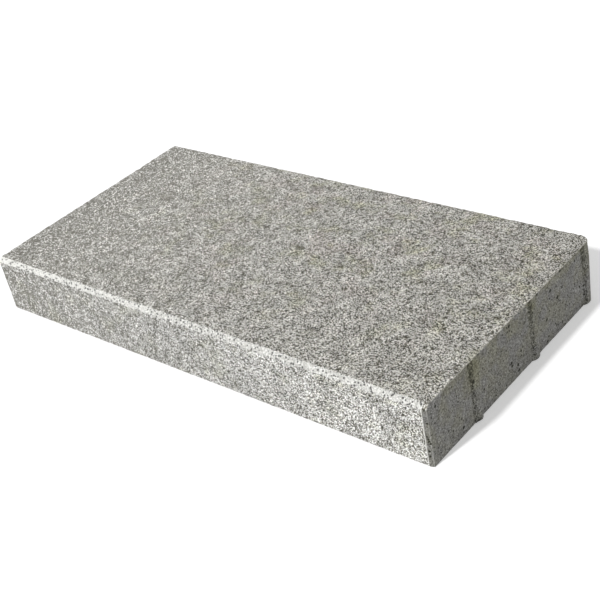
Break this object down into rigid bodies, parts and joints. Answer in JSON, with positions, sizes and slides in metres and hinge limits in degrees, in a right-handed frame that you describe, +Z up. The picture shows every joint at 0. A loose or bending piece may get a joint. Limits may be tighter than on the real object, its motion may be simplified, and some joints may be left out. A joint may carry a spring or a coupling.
{
  "type": "wall coping stone",
  "caption": "Flat rectangular coping stone of cast concrete, with a chamfered front top edge and joint ribs on one end.",
  "frame": {"origin": "middle of the bedding face, the flat underside that lies on the wall; the ribs are not counted", "axes": "+X along the wall towards the ribbed end, -Y towards the chamfered front face, +Z up"},
  "size_m": [0.603, 0.3, 0.07],
  "materials": {
    "blasted_concrete": "matte"
  },
  "bodies": {
    "root": {"coping_stone": "blasted_concrete"}
  },
  "joints": []
}
